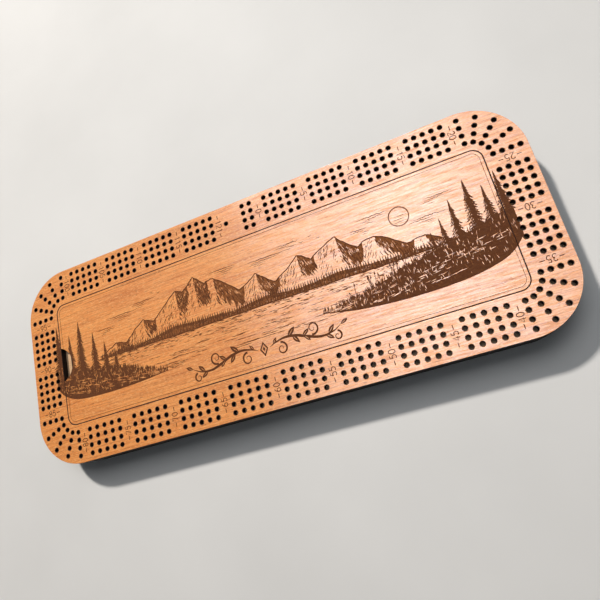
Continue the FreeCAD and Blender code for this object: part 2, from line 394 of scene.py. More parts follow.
# ------------------------------------------------------------------------------------ frames
# Three more sheets of the same plywood, each cut with the card bay in the middle, a bay on each
# side of it and a finger gap through the dividers. Glued together they are the box's walls.

CARD_BAY = 66 * mm
DIVIDER = 8 * mm
SIDE_BAY = 129.5 * mm
WELL_WIDTH = 90.5 * mm
BAY_CORNER = 3 * mm
BAY_CORNER_STEPS = 8
FINGER_GAP = 24 * mm


def bay(length, width, centre_x=0.0):
    """A round-cornered opening, widened by what its broken edges take."""
    half_x, half_y = length / 2 + EDGE_IN, width / 2 + EDGE_IN
    return rounded_rectangle(half_x, half_y, BAY_CORNER + EDGE_IN, BAY_CORNER_STEPS, centre_x)


side_bay_centre = CARD_BAY / 2 + DIVIDER + SIDE_BAY / 2
bays = [
    (bay(CARD_BAY, WELL_WIDTH), True),
    (bay(SIDE_BAY, WELL_WIDTH, -side_bay_centre), True),
    (bay(SIDE_BAY, WELL_WIDTH, side_bay_centre), True),
    (bay(CARD_BAY + 2 * DIVIDER + 2 * BAY_CORNER, FINGER_GAP), True),
]
for node in ("frame_lower", "frame_middle", "frame_upper"):
    low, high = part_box(node)
    piece = Sheet(board_outline, bays, low.z, high.z).build(node.replace("frame", "wall"), PLY)
    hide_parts(node)
    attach(piece, "board")

# --------------------------------------------------------------------------- the engraving
# Numbers and a picture, burnt into the closed board with the same laser at low power, so that
# they run on from the top sheet to the lid. Drawn here in millimetres, as the laser's own file is.
# Later marks lie over earlier ones.

# A tone is the steps that it is sunk by, and its finish.
BARE = (0, "face")
LIGHT = (1, "engraved")
DEEP = (1, "burnt")
SCORCH = (0, "scorched")
SLIVER = 1e-4
marks = []


def draw(tone, loops):
    """Marks the board with loops of one tone."""
    steps, finish = tone
    for loop in loops:
        marks.append(([(x * mm, y * mm) for x, y in loop], steps, finish))


def triangles_of(quad):
    """Two counter-clockwise triangles for four corners in order."""
    a, b, c, d = quad
    for corners in ((a, b, c), (a, c, d)):
        (ax, ay), (bx, by), (cx, cy) = corners
        area = (bx - ax) * (cy - ay) - (cx - ax) * (by - ay)
        if abs(area) > SLIVER:
            yield corners if area > 0 else corners[::-1]


def stroke(path, width, taper=lambda share: 1.0):
    """A line of the given width along a path; taper scales the width from its start to its end."""
    left, right = [], []
    last = len(path) - 1
    for index, (x, y) in enumerate(path):
        (ax, ay), (bx, by) = path[max(index - 1, 0)], path[min(index + 1, last)]
        length = math.hypot(bx - ax, by - ay) or 1.0
        half = width / 2 * taper(index / last)
        side_x, side_y = -(by - ay) / length * half, (bx - ax) / length * half
        left.append((x + side_x, y + side_y))
        right.append((x - side_x, y - side_y))
    return [
        triangle
        for i in range(last)
        for triangle in triangles_of((right[i], right[i + 1], left[i + 1], left[i]))
    ]


def to_a_point(share):
    """A taper for a line that runs out thin."""
    return 1.0 - 0.92 * share


def at_both_ends(share):
    """A taper for a line that is thin where it starts and where it ends."""
    return 0.1 + 0.9 * math.sin(math.pi * share)


def arc(centre, across, up, start, end, steps=10):
    """Points on an ellipse, from one angle to another in degrees."""
    points = []
    for step in range(steps + 1):
        angle = math.radians(start + (end - start) * step / steps)
        points.append((centre[0] + across * math.cos(angle), centre[1] + up * math.sin(angle)))
    return points


# Each numeral is one or two strokes in a cell 0.58 wide and 1 high.
NUMERALS = {
    "0": [arc((0.29, 0.5), 0.27, 0.48, 90, 450, 18)],
    "1": [[(0.12, 0.78), (0.34, 0.98), (0.34, 0.02)]],
    "2": [arc((0.29, 0.71), 0.25, 0.27, 165, -40) + [(0.04, 0.02), (0.56, 0.02)]],
    "3": [arc((0.27, 0.74), 0.23, 0.24, 150, -80), arc((0.27, 0.27), 0.27, 0.25, 80, -150)],
    "4": [[(0.42, 0.02), (0.42, 0.98), (0.03, 0.3), (0.56, 0.3)]],
    "5": [[(0.5, 0.98), (0.13, 0.98), (0.08, 0.56)] + arc((0.27, 0.33), 0.27, 0.31, 125, -145)],
    "6": [arc((0.29, 0.3), 0.25, 0.28, 180, 540, 18), arc((0.6, 0.3), 0.56, 0.68, 180, 105)],
    "7": [[(0.04, 0.98), (0.55, 0.98), (0.2, 0.02)]],
    "8": [arc((0.29, 0.75), 0.21, 0.23, 0, 360, 16), arc((0.29, 0.27), 0.26, 0.25, 0, 360, 16)],
    "9": [arc((0.29, 0.7), 0.25, 0.28, 0, 360, 18), arc((-0.02, 0.7), 0.56, 0.68, 0, -75)],
}
NUMERAL_HEIGHT = 4.7
NUMERAL_ADVANCE = 3.45
NUMERAL_INDENT = 0.35
DASH = 3.0
DASH_GAP = 0.8
PEN = 0.56


def number_label(number, centre, direction):
    """A number with a dash before and after it, centred on a point and read along a direction."""
    digits = str(number)
    width = NUMERAL_ADVANCE * len(digits)
    dash_start = width / 2 + DASH_GAP
    paths = [[(side * dash_start, 0), (side * (dash_start + DASH), 0)] for side in (-1, 1)]
    for place, digit in enumerate(digits):
        left = place * NUMERAL_ADVANCE - width / 2 + NUMERAL_INDENT
        for shape in NUMERALS[digit]:
            paths.append([(left + x * NUMERAL_HEIGHT, (y - 0.5) * NUMERAL_HEIGHT) for x, y in shape])
    cos, sin = math.cos(math.radians(direction)), math.sin(math.radians(direction))
    for path in paths:
        turned = [(centre[0] + x * cos - y * sin, centre[1] + x * sin + y * cos) for x, y in path]
        draw(DEEP, stroke(turned, PEN))


FRAME_HOLE_SIDES = 6


def peg_holes():
    """The middle of each peg hole, from the six-sided rings that stand for them in the frame."""
    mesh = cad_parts["top_sheet"].data
    ring_of = {}
    for face in mesh.polygons:
        upright = abs(face.normal.z) < 0.5
        if upright:
            ring = set()
            for index in face.vertices:
                corner = mesh.vertices[index].co
                key = (round(corner.x / mm, 3), round(corner.y / mm, 3))
                ring |= ring_of.get(key, {key})
            for key in ring:
                ring_of[key] = ring
    sides = FRAME_HOLE_SIDES
    rings = {id(ring): ring for ring in ring_of.values() if len(ring) == sides}.values()
    return sorted((sum(x for x, _ in ring) / sides, sum(y for _, y in ring) / sides) for ring in rings)


# The heat chars the veneer round every hole.
HOLE_RADIUS = 1.7
HOLE_STEPS = 24
SCORCH_WIDTH = 0.32
holes = peg_holes()
for centre in holes:
    radius = HOLE_RADIUS + SCORCH_WIDTH
    draw(SCORCH, [arc(centre, radius, radius, 0, 360, HOLE_STEPS)[:-1]])

# The tracks lie beyond these lines, and each corner is a fan of holes about the lines' crossing.
SIDE_TRACKS_FROM = 50
END_TRACKS_FROM = 175
FAN_X = 168
FAN_Y = 42
NARROWEST_GAP = 9
WIDEST_GAP = 14.5


def between_streets(rows):
    """Where a number fits: the middle of each gap between one street of holes and the next."""
    rows = sorted({round(row, 2) for row in rows})
    return [(a + b) / 2 for a, b in zip(rows, rows[1:]) if NARROWEST_GAP < b - a < WIDEST_GAP]


far_side = [(x, y) for x, y in holes if y > SIDE_TRACKS_FROM and abs(x) < FAN_X]
near_side = [(x, y) for x, y in holes if y < -SIDE_TRACKS_FROM and abs(x) < FAN_X]
right_end = [(x, y) for x, y in holes if x > END_TRACKS_FROM and abs(y) < FAN_Y]
side_middle = (max(y for _, y in far_side) + min(y for _, y in far_side)) / 2
end_middle = (max(x for x, _ in right_end) + min(x for x, _ in right_end)) / 2
far_gaps = between_streets(x for x, _ in far_side)
near_gaps = between_streets(x for x, _ in near_side)
end_gaps = between_streets(y for _, y in right_end)

# Play starts on the far side, right of the middle, and runs clockwise round the board.
places = [((x, side_middle), -90) for x in far_gaps if x > 0]
places += [((end_middle, y), 180) for y in reversed(end_gaps)]
places += [((x, -side_middle), 90) for x in reversed(near_gaps)]
places += [((-end_middle, y), 0) for y in end_gaps]
places += [((x, side_middle), -90) for x in far_gaps if x < 0]
FINISH = 121
numbers = [5 * count for count in range(len(places) - 1)] + [FINISH]
for number, (centre, direction) in zip(numbers, places):
    number_label(number, centre, direction)

# The lid's cut is charred on both sides, and a thin border line runs round the lid just inside it.
LID_GAP = 0.2
LID_CORNER = 7.3
CUT_SCORCH_WIDTH = 0.22
BORDER_INSET = 2.2
BORDER_WIDTH = 0.3
lid_low, lid_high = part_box("lid_panel")
scorched_in = EDGE_IN / mm + CUT_SCORCH_WIDTH
for inset, tone in (
    (-LID_GAP - scorched_in, SCORCH), (scorched_in, BARE),
    (BORDER_INSET, LIGHT), (BORDER_INSET + BORDER_WIDTH, BARE),
):
    half_x, half_y = lid_high.x / mm - inset, lid_high.y / mm - inset
    draw(tone, [rounded_rectangle(half_x, half_y, LID_CORNER - inset)])

# The picture: a lake below mountains, between two stands of firs. hand draws its chance variation.
hand = random.Random(11)


def roughened(path, size, passes):
    """The path with each straight run broken up, every pass half as rough as the last."""
    for _ in range(passes):
        finer = [path[0]]
        for (ax, ay), (bx, by) in zip(path, path[1:]):
            finer.append(((ax + bx) / 2, (ay + by) / 2 + hand.uniform(-size, size)))
            finer.append((bx, by))
        path = finer
        size /= 2
    return path


def eased(p, q, r, s, share):
    """A number on its way from q to r, after p and before s."""
    bend = 2 * p - 5 * q + 4 * r - s
    turn = 3 * q - p - 3 * r + s
    return 0.5 * (2 * q + (r - p) * share + bend * share * share + turn * share ** 3)


def smooth_through(points, steps):
    """A curve through the points."""
    padded = [points[0]] + points + [points[-1]]
    curve = []
    for four in zip(padded, padded[1:], padded[2:], padded[3:]):
        for step in range(steps):
            curve.append(tuple(eased(*values, step / steps) for values in zip(*four)))
    return curve + [points[-1]]


def height_on(path, x):
    """The height of a left-to-right path at x."""
    for (ax, ay), (bx, by) in zip(path, path[1:]):
        if ax <= x <= bx:
            return ay + (by - ay) * (x - ax) / (bx - ax)
    return path[0][1] if x < path[0][0] else path[-1][1]


def between(lower, upper):
    """The area between two left-to-right paths."""
    return lower + upper[::-1]


def scratch(tone, x, y, along, up, width):
    """One short stroke of the laser: pointed at both ends, widest between them, a little bent."""
    bend = hand.uniform(-0.12, 0.12)
    middle_x, middle_y = x + along * (0.5 + bend), y + up * (0.5 - bend)
    length = math.hypot(along, up)
    side_x, side_y = up / length * width / 2, -along / length * width / 2
    right, left = (middle_x + side_x, middle_y + side_y), (middle_x - side_x, middle_y - side_y)
    draw(tone, [[(x, y), right, (x + along, y + up), left]])


SHORE = -6.0
RIDGE = [
    (-138, -4), (-122, 3), (-112, 1), (-95, 14), (-86, 10), (-64, 27), (-58, 24.5), (-47, 33),
    (-38, 25), (-31, 26.5), (-12, 11), (3, 19), (17, 8), (36, 21), (46, 15), (66, 25), (80, 12),
    (92, 15.5), (112, 3), (124, 4.5), (140, -4),
]
SHADE_STEPS = 30
# Marks for each millimetre that a summit rises above the shore.
STROKES = 2.9
GLINTS = 1.3
CREASES = 1.8
ridge = roughened(RIDGE, 1.3, 3)


def mountain(top_x, top_y):
    """A summit's two faces: right of it ragged shade with strokes and glints, left of it creases."""
    foot_x = next(x for x, _ in RIDGE if x > top_x)
    fall = max(foot_x - top_x, 9) * 1.25
    rise = top_y - SHORE
    upper, lower = [], []
    for step in range(1, SHADE_STEPS + 1):
        share = step / SHADE_STEPS
        x = top_x + fall * share
        depth = rise * 0.85 * share ** 0.35 * (1 - share) ** 0.45 * hand.uniform(0.68, 1.12)
        y = height_on(ridge, x)
        upper.append((x, y - 0.1))
        lower.append((x, y - 0.15 - max(depth, 0.1)))
    draw(LIGHT, [between(lower, upper)])
    for _ in range(int(rise * STROKES)):
        share = hand.random() ** 1.2
        x = top_x + fall * share * 0.92
        y = height_on(ridge, x) - hand.random() * rise * 0.6 * (1 - share * 0.6)
        length = hand.uniform(1.8, 6.0)
        scratch(DEEP, x, y, length * 0.42, -length, hand.uniform(0.4, 0.9))
    for _ in range(int(rise * GLINTS)):
        share = hand.random()
        x = top_x + fall * share * 0.8
        y = height_on(ridge, x) - 1.0 - hand.random() * rise * 0.45 * (1 - share)
        length = hand.uniform(1.2, 3.6)
        scratch(BARE, x, y, length * 0.35, -length, hand.uniform(0.25, 0.45))
    for _ in range(int(rise * CREASES)):
        x = top_x - hand.uniform(0.5, 15.0)
        y = height_on(ridge, x) - hand.random() ** 1.4 * rise * 0.6 - 0.6
        length = hand.uniform(1.2, 4.6)
        tone = DEEP if hand.random() < 0.6 else LIGHT
        scratch(tone, x, y, -length * 0.6, -length, 0.5)


for before, summit, after in zip(RIDGE, RIDGE[1:], RIDGE[2:]):
    if summit[1] > before[1] and summit[1] > after[1]:
        mountain(*summit)
draw(DEEP, stroke(ridge, 0.8))


def fir(x, foot, height, width, tiers):
    """A trunk under overlapping tiers of boughs, each with a ragged lower edge."""
    lean = hand.uniform(-0.015, 0.015) * height
    swell = width * 0.03
    draw(DEEP, [[(x - 0.15 - swell, foot), (x + 0.15 + swell, foot), (x + lean, foot + height)]])
    for tier in range(tiers):
        share = tier / tiers
        middle = x + lean * share
        y = foot + height * (0.07 + 0.9 * share)
        tall = height / tiers * 1.9
        half = width / 2 * (1 - share) ** 0.85 * hand.uniform(0.78, 1.1) + 0.12
        left, right = middle - half * hand.uniform(0.8, 1.1), middle + half * hand.uniform(0.8, 1.1)
        teeth = 2 * max(2, int(half * 1.5))
        lower = []
        for tooth in range(teeth + 1):
            inward = 1 - abs(2 * tooth / teeth - 1)
            up = hand.uniform(0.2, 0.5) if tooth % 2 else hand.uniform(-0.3, 0.05)
            lift = tall * up * min(inward, 0.7) - half * 0.16 * (1 - inward)
            lower.append((left + (right - left) * tooth / teeth, y + lift))
        draw(DEEP, [between(lower, [(middle, y + tall)])])
        if half > 1.6:
            for _ in range(int(half * 0.7)):
                reach = hand.uniform(0.1, 0.7)
                start = (middle - half * reach * 0.7, y + tall * (0.62 - reach * 0.62))
                scratch(BARE, *start, -half * 0.26, -tall * 0.26, hand.uniform(0.22, 0.34))


# Wooded foothills along the far shore, with light between the trees, and the shore line.
HILLS = [
    (-139, SHORE), (-118, -2.5), (-96, -3.5), (-70, 0.5), (-44, -1.5), (-20, -2.8), (8, 0.2),
    (34, -2.6), (60, -0.4), (88, -2.4), (116, -3.2), (139, SHORE),
]
SHORE_LINE = [(-140, SHORE), (-40, SHORE - 0.3), (60, SHORE - 0.1), (140, SHORE)]
GAPS_IN_TREES = 120
hills = roughened(HILLS, 0.5, 3)
draw(LIGHT, [between([(-139, SHORE - 0.2), (139, SHORE - 0.2)], hills)])
x = -137.0
while x < 137.0:
    top = height_on(hills, x)
    tall = min(hand.uniform(3.6, 5.6), top - SHORE + 2.4)
    fir(x, top - tall * 0.62, tall, tall * 0.46, 3)
    x += hand.uniform(1.2, 2.2)
x = -136.0
while x < 136.0:
    tall = hand.uniform(2.2, 4.2)
    fir(x, SHORE - 0.3, tall, tall * 0.5, 3)
    x += hand.uniform(1.7, 3.2)
for _ in range(GAPS_IN_TREES):
    x, y = hand.uniform(-130, 130), SHORE + hand.uniform(0.2, 2.0)
    scratch(BARE, x, y, 0.1, hand.uniform(0.8, 1.8), 0.26)
draw(DEEP, stroke(roughened(SHORE_LINE, 0.4, 4), 0.9))

# The water: close reflections under the far shore, and wider ripples nearer by.
REFLECTIONS = 340
RIPPLES = 140
for _ in range(REFLECTIONS):
    x, depth = hand.uniform(-134, 134), hand.random() ** 1.7
    y, half = SHORE - 0.8 - 7.5 * depth, hand.uniform(0.8, 3.6)
    tone = DEEP if depth < 0.4 else LIGHT
    scratch(tone, x - half, y, 2 * half, 0, hand.uniform(0.35, 0.6))
for _ in range(RIPPLES):
    x, depth = hand.uniform(-122, 118), hand.random()
    y, half = SHORE - 5 - 19 * depth, hand.uniform(2.0, 4.0 + 8.0 * depth)
    bend = hand.uniform(-0.3, 0.3)
    tone = LIGHT if hand.random() < 0.55 else DEEP
    scratch(tone, x - half, y, half, bend, 0.3 + 0.3 * depth)
    scratch(tone, x - half * 0.3, y - bend, half * 1.3, bend, 0.3 + 0.3 * depth)

# The two banks in front, from their lower edges to their upper ones, and the firs on them. A fir is
# its place, height and width.
LEFT_LOWER = [(-181.5, -19), (-174, -26.5), (-160, -31.5), (-132, -33), (-104, -32.4), (-80, -30.4)]
LEFT_UPPER = [
    (-181.5, -2), (-168, -7), (-150, -11), (-128, -15), (-108, -20.5), (-92, -26), (-80, -30.2),
]
LEFT_FIRS = (
    (-177, 38, 13), (-166, 31, 11), (-156, 43, 15), (-143, 33, 12), (-133, 24, 9), (-124, 17, 7),
)
RIGHT_LOWER = [
    (44, -25.4), (70, -30.5), (104, -33.2), (138, -32.6), (160, -29), (172, -24), (180.5, -16),
]
RIGHT_UPPER = [
    (44, -25.2), (62, -23), (84, -18.5), (106, -12.5), (128, -7.5), (150, -3), (166, 1), (180.5, 3),
]
RIGHT_FIRS = (
    (177, 30, 12), (167, 25, 10), (157, 36, 14), (145, 29, 11), (136, 20, 8), (128, 14, 6),
)
TOP_BLADES = 280
LIGHT_BLADES = 440
SWEEPS = 70


def bank(lower, upper, firs):
    """A dark bank with grass along its top, firs, and light blades and sweeps of grass over it."""
    lower, upper = smooth_through(lower, 6), roughened(upper, 0.9, 3)
    draw(DEEP, [between(lower, upper)])
    start, end = upper[0][0], upper[-1][0]
    for _ in range(TOP_BLADES):
        x = hand.uniform(start + 1, end - 1)
        length, lean = hand.uniform(1.0, 4.2), hand.uniform(-1.2, 1.2)
        y = height_on(upper, x) - length * 0.4
        scratch(DEEP, x, y, lean, length * 1.4, hand.uniform(0.5, 0.9))
    for x, height, width in firs:
        fir(x, height_on(upper, x) - 2.5, height, width, int(height * 0.5))
    for _ in range(LIGHT_BLADES):
        x = hand.uniform(start + 2, end - 2)
        low, high = height_on(lower, x), height_on(upper, x)
        y = low + (high - low) * hand.uniform(0.06, 0.9)
        length = min(hand.uniform(0.8, 4.6), high - y)
        tone = BARE if hand.random() < 0.55 else LIGHT
        scratch(tone, x, y, hand.uniform(-1.3, 1.3), length, hand.uniform(0.24, 0.56))
    for _ in range(SWEEPS):
        x, across = hand.uniform(start + 2, end - 12), hand.uniform(3.0, 8.0)
        low, high = height_on(lower, x + across / 2), height_on(upper, x)
        y = low + (high - low) * hand.uniform(0.2, 0.75)
        fall = (height_on(upper, x + across) - high) * 0.6
        scratch(BARE, x, y, across, fall, hand.uniform(0.35, 0.6))


bank(LEFT_LOWER, LEFT_UPPER, LEFT_FIRS)
bank(RIGHT_LOWER, RIGHT_UPPER, RIGHT_FIRS)

# Reeds with seed heads along the right bank.
REEDS = 20
for _ in range(REEDS):
    x = hand.uniform(60, 116)
    foot = height_on(RIGHT_UPPER, x) - 1.0
    height, lean = hand.uniform(6, 12), hand.uniform(-2.0, 2.0)
    stem = [(x, foot), (x + lean * 0.3, foot + height * 0.5), (x + lean, foot + height)]
    draw(DEEP, stroke(stem, 0.38))
    head = [(x + lean * share, foot + height * share) for share in (0.72, 0.84, 0.96)]
    draw(DEEP, stroke(head, 1.2, at_both_ends))

# A low sun behind thin cloud, streaks of cloud, and birds. A cloud is its middle and half its length,
# and a bird its middle and a wing's span.
SUN = (112, 23)
CLOUDS = (
    (-112, 24, 15), (-96, 28.5, 11), (-20, 31, 13), (10, 28, 17), (30, 32, 9),
    (92, 30, 12), (128, 16.5, 13), (84, 23.5, 8), (-128, 17, 9), (136, 28.5, 10),
)
CLOUD_ROWS = 4
BIRDS = (
    (42, 29, 2.8), (49, 31.5, 2.2), (55, 28.2, 1.9),
    (-78, 30.5, 2.3), (-84, 32.4, 1.8), (36, 32.5, 1.6),
)
draw(LIGHT, [arc(SUN, 7.2, 7.2, 0, 360, 40)[:-1]])
draw(BARE, [arc(SUN, 6.4, 6.4, 0, 360, 40)[:-1]])
for y, half in ((19.0, 5.4), (21.0, 6.3), (23.2, 6.3)):
    scratch(LIGHT, SUN[0] - half, y, 2 * half, 0, 0.5)
for x, y, half in CLOUDS:
    for row in range(CLOUD_ROWS):
        shift = hand.uniform(-5, 5)
        cloud = [(x - half + shift + half * 2 * step / 9, y - row * 1.35) for step in range(10)]
        tone = DEEP if row == 0 else LIGHT
        draw(tone, stroke(roughened(cloud, 0.45, 1), 0.56 - row * 0.08, at_both_ends))
        half *= 0.68
for x, y, span in BIRDS:
    for side in (-1, 1):
        wing = [(x, y), (x + side * span * 0.4, y + span * 0.34), (x + side * span, y + span * 0.12)]
        draw(DEEP, stroke(wing, 0.46, to_a_point))

# An ornament under the picture: scrolls and leaves to each side of a lozenge.
ORNAMENT = (-3.0, -36.6)
ORNAMENT_SCALE = 1.06
ORNAMENT_RISE = 1.5


def set_in_ornament(points, side=1):
    """Points about the ornament's middle, moved to the board; side -1 turns them over."""
    middle_x, middle_y = ORNAMENT
    return [(middle_x + side * x * ORNAMENT_SCALE, middle_y + y * ORNAMENT_RISE) for x, y in points]


def spiral(centre, radius, start, turns):
    """A scroll that winds in to its middle; turns below zero wind clockwise."""
    points = []
    steps = int(26 * abs(turns))
    for step in range(steps + 1):
        share = step / steps
        angle = math.radians(start) + 2 * math.pi * turns * share
        reach = radius * (1 - share) ** 0.8 + 0.25
        points.append((centre[0] + reach * math.cos(angle), centre[1] + reach * math.sin(angle) / 1.3))
    return points


LOZENGE = ((0, -3.6), (3.0, 0), (0, 3.6), (-3.0, 0))
for size, tone in ((1.0, DEEP), (0.62, BARE), (0.34, DEEP)):
    draw(tone, [set_in_ornament([(x * size, y * size) for x, y in LOZENGE])])
VINE = [(4.2, 0), (9, 1.4), (16, 2.4), (24, 1.6), (32, -0.6), (40, -2.2), (48, -1.6), (54, 0.6)]
# Each scroll's middle, radius, start and turns, and each leaf's foot, direction and length.
SCROLLS = ((12.5, -2.2, 3.6, 95, -1.4), (35.5, 2.8, 3.8, 250, 1.4), (50.5, -4.0, 2.7, 80, -1.2))
LEAVES = (
    (18, 2.2, 42, 7.5), (21, 1.9, -50, 6.5), (28, 0.5, 36, 6.0), (29, 0.3, -44, 5.0),
    (43, -2.1, -34, 6.0), (45, -2.0, 46, 6.5), (54, 0.6, 24, 5.5), (7, 0.9, 52, 4.6),
)
for side in (-1, 1):
    draw(DEEP, stroke(set_in_ornament(smooth_through(VINE, 6), side), 2.0, at_both_ends))
    for x, y, radius, start, turns in SCROLLS:
        draw(DEEP, stroke(set_in_ornament(spiral((x, y), radius, start, turns), side), 1.5, to_a_point))
    for x, y, angle, length in LEAVES:
        heading = math.radians(angle)
        step_x, step_y = math.cos(heading) * length / 8, math.sin(heading) * length / 8
        rib = [(x + step_x * step, y + step_y * step * 0.75) for step in range(9)]
        rib = set_in_ornament(rib, side)
        draw(DEEP, stroke(rib, length * 0.46, at_both_ends))
        draw(BARE, stroke(rib[1:7], 0.4, at_both_ends))

# -------------------------------------------------------------------------------- top sheet
# The playing face: cherry-faced plywood with a track of laser-cut peg holes for each of four
# players and a large opening for the lid. Its lower face closes on the frames, which floor the holes.


def cherry_colour(tree):
    """Cherry veneer: warm bands, fine streaks, short pores and pale flecks."""
    bands = figure(tree, 5, 55, detail=4.0, warp=0.8)
    cloud = figure(tree, 16, 34, detail=3.0)
    streaks = figure(tree, 22, 850, detail=5.0, roughness=0.6)
    fine = figure(tree, 60, 3000, detail=2.0)
    pores = figure(tree, 210, 4600, detail=1.0)
    flecks = figure(tree, 420, 900, detail=1.0)
    wood = shades(
        tree, bands,
        (0.25, srgb(224, 132, 60)), (0.5, srgb(238, 147, 71)), (0.75, srgb(208, 114, 48)),
    )
    wood = tinted(tree, wood, cloud, 0.3, 0.75, 0.5, srgb(240, 160, 88))
    wood = tinted(tree, wood, streaks, 0.44, 0.7, 0.68, srgb(170, 82, 33))
    wood = tinted(tree, wood, fine, 0.46, 0.68, 0.55, srgb(250, 180, 108))
    wood = tinted(tree, wood, flecks, 0.54, 0.68, 0.42, srgb(250, 190, 122))
    wood = tinted(tree, wood, pores, 0.61, 0.69, 0.68, srgb(124, 58, 28))
    return wood, streaks, pores


def cherry():
    """The veneer under a satin varnish, which sinks in along the grain lines."""
    material, tree, shader = new_finish("cherry_face")
    wood, streaks, pores = cherry_colour(tree)
    surface(tree, shader, wood, spread(tree, streaks, 0.3, 0.7, 0.52, 0.64))
    shader.inputs["Specular IOR Level"].default_value = 0.25
    grain_lines = figure(tree, 70, 1100, detail=3.0)
    give(tree, shader.inputs["Coat Weight"], spread(tree, grain_lines, 0.4, 0.64, 1.0, 0.3))
    shader.inputs["Coat IOR"].default_value = 1.8
    shader.inputs["Coat Roughness"].default_value = 0.14
    sunk = add(tree, "Math", streaks, pores, operation="SUBTRACT").outputs[0]
    relief(tree, shader, sunk, 0.03 * mm)
    return material


# How close the laser's passes lie, as a scale of the wave, and how much they waver.
RASTER = 2600.0
WAVER = 1.2


def engraved(name, tint, strength, raster_depth):
    """Wood burnt away in close parallel passes: brown, matt, finely lined, with a painted highlight
    along each pass.
    """
    material, tree, shader = new_finish(name)
    wood, _, _ = cherry_colour(tree)
    place = add(tree, "TexCoord").outputs["Object"]
    passes = add(tree, "TexWave", place, RASTER, WAVER, 2.0, bands_direction="Y").outputs[1]
    soot = figure(tree, 500, 900, detail=4.0, roughness=0.65)
    burnt = over(tree, strength, wood, tint)
    burnt = tinted(tree, burnt, soot, 0.35, 0.8, 0.55, srgb(46, 24, 10))
    # lighter brown along the passes: partly the burn's own lines, partly a painted highlight on their
    # ridges
    burnt = tinted(tree, burnt, passes, 0.2, 0.9, 0.22, srgb(128, 72, 38))
    surface(tree, shader, burnt, 0.85)
    shader.inputs["Specular IOR Level"].default_value = 0.2
    relief(tree, shader, passes, raster_depth)
    return material


def scorched():
    """The veneer just round a cut, charred by its heat."""
    material, tree, shader = new_finish("scorched_rim")
    wood, streaks, _ = cherry_colour(tree)
    char = over(tree, spread(tree, streaks, 0.3, 0.7, 0.72, 0.94), wood, srgb(52, 27, 14))
    surface(tree, shader, char, 0.8)
    return material


CHERRY = {
    "face": cherry(),
    "scorched": scorched(),
    "engraved": engraved("engraved_light", srgb(124, 70, 32), 0.86, 0.03 * mm),
    "burnt": engraved("engraved_deep", srgb(86, 46, 19), 0.93, 0.04 * mm),
    "edge": PLY["edge"],
    "back": PLY["face"],
}
top_low, top_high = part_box("top_sheet")
lid_opening = rounded_rectangle(
    lid_high.x + LID_GAP * mm + EDGE_IN,
    lid_high.y + LID_GAP * mm + EDGE_IN,
    (LID_CORNER + LID_GAP) * mm + EDGE_IN,
)
openings = [(lid_opening, True)]
for x, y in holes:
    round_hole = arc((x * mm, y * mm), HOLE_RADIUS * mm, HOLE_RADIUS * mm, 0, 360, HOLE_STEPS)
    openings.append((round_hole[:-1], False))


def reaches_past_lid(mark):
    """Whether any of it lies outside the lid."""
    return any(abs(x) > lid_high.x or abs(y) > lid_high.y for x, y in mark[0])


top_marks = [mark for mark in marks if reaches_past_lid(mark)]
top = Sheet(board_outline, openings, top_low.z, top_high.z, top_marks).build("top", CHERRY)
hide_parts("top_sheet")
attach(top, "board")

# -------------------------------------------------------------------------------------- lid
# The panel that was cut out of the top sheet, so its grain runs on. It rests on the ledge of the
# upper frame and lifts out by the finger notch in its left end.

NOTCH_RADIUS = 14.5 * mm
NOTCH_DEPTH = 9.4 * mm
NOTCH_STEPS = 96
LID_CORNER_STEPS = 10


def reaches_lid(mark):
    """Whether it comes in as far as the lid, along the board and across it."""
    nearest_x, nearest_y = (min(abs(p[axis]) for p in mark[0]) for axis in (0, 1))
    return nearest_x < lid_high.x and nearest_y < lid_high.y


notch_centre = (lid_low.x + NOTCH_DEPTH - NOTCH_RADIUS, 0.0)
notch_radius = NOTCH_RADIUS + EDGE_IN
notch = arc(notch_centre, notch_radius, notch_radius, 0, 360, NOTCH_STEPS)[:-1]
half_lid = (lid_high.x - EDGE_IN, lid_high.y - EDGE_IN)
lid_outline = rounded_rectangle(*half_lid, LID_CORNER * mm - EDGE_IN, LID_CORNER_STEPS)
lid_marks = [mark for mark in marks if reaches_lid(mark)]
lid = Sheet(lid_outline, [(notch, True)], lid_low.z, lid_high.z, lid_marks).build("lid", CHERRY)
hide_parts("lid_panel")
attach(lid, "lid")

# ------------------------------------------------------------------------------------ cards
# A pack of 52 playing cards in the middle bay: coated card with round corners, squared up by hand,
# so no two edges quite line up. The back that shows is a plain lattice inside a white border.

CARDS = 52
CARD_CORNER = 3.2 * mm
CARD_CORNER_STEPS = 7
CARD_GAP = 0.02 * mm
# The room left round a card for its shift, which takes a share of it, and for its turn.
JOGGLE = 0.2 * mm
JOGGLE_SHARE = 0.4
JOGGLE_TURN = math.radians(0.12)
BACK_BORDER = 4.4 * mm
BACK_LINE = 0.5 * mm
DIAMONDS_ACROSS = 10
DIAMONDS_ALONG = 15
# Places in the list of the cards' finishes.
WHITE, RED, CUT = 0, 1, 2


def coated(name, mottling, detail, dark, light, smoothest):
    """The surface of a card, bare or inked: faintly mottled, with a soft sheen and a fine tooth."""
    material, tree, shader = new_finish(name)
    mottle = figure(tree, mottling, mottling, detail)
    colour = shades(tree, mottle, (0.3, dark), (0.7, light))
    surface(tree, shader, colour, spread(tree, mottle, 0.3, 0.7, smoothest, smoothest + 0.12))
    relief(tree, shader, figure(tree, 1800, 1800, detail=1.0), 0.01 * mm)
    return material


def cut_edges():
    """The cards' edges: bare paper, greyed a little by hands."""
    material, tree, shader = new_finish("card_edges")
    wear = figure(tree, 160, 160, detail=4.0)
    paper = shades(tree, wear, (0.3, srgb(226, 220, 206)), (0.7, srgb(204, 196, 180)))
    surface(tree, shader, paper, spread(tree, wear, 0.3, 0.7, 0.8, 0.92))
    return material


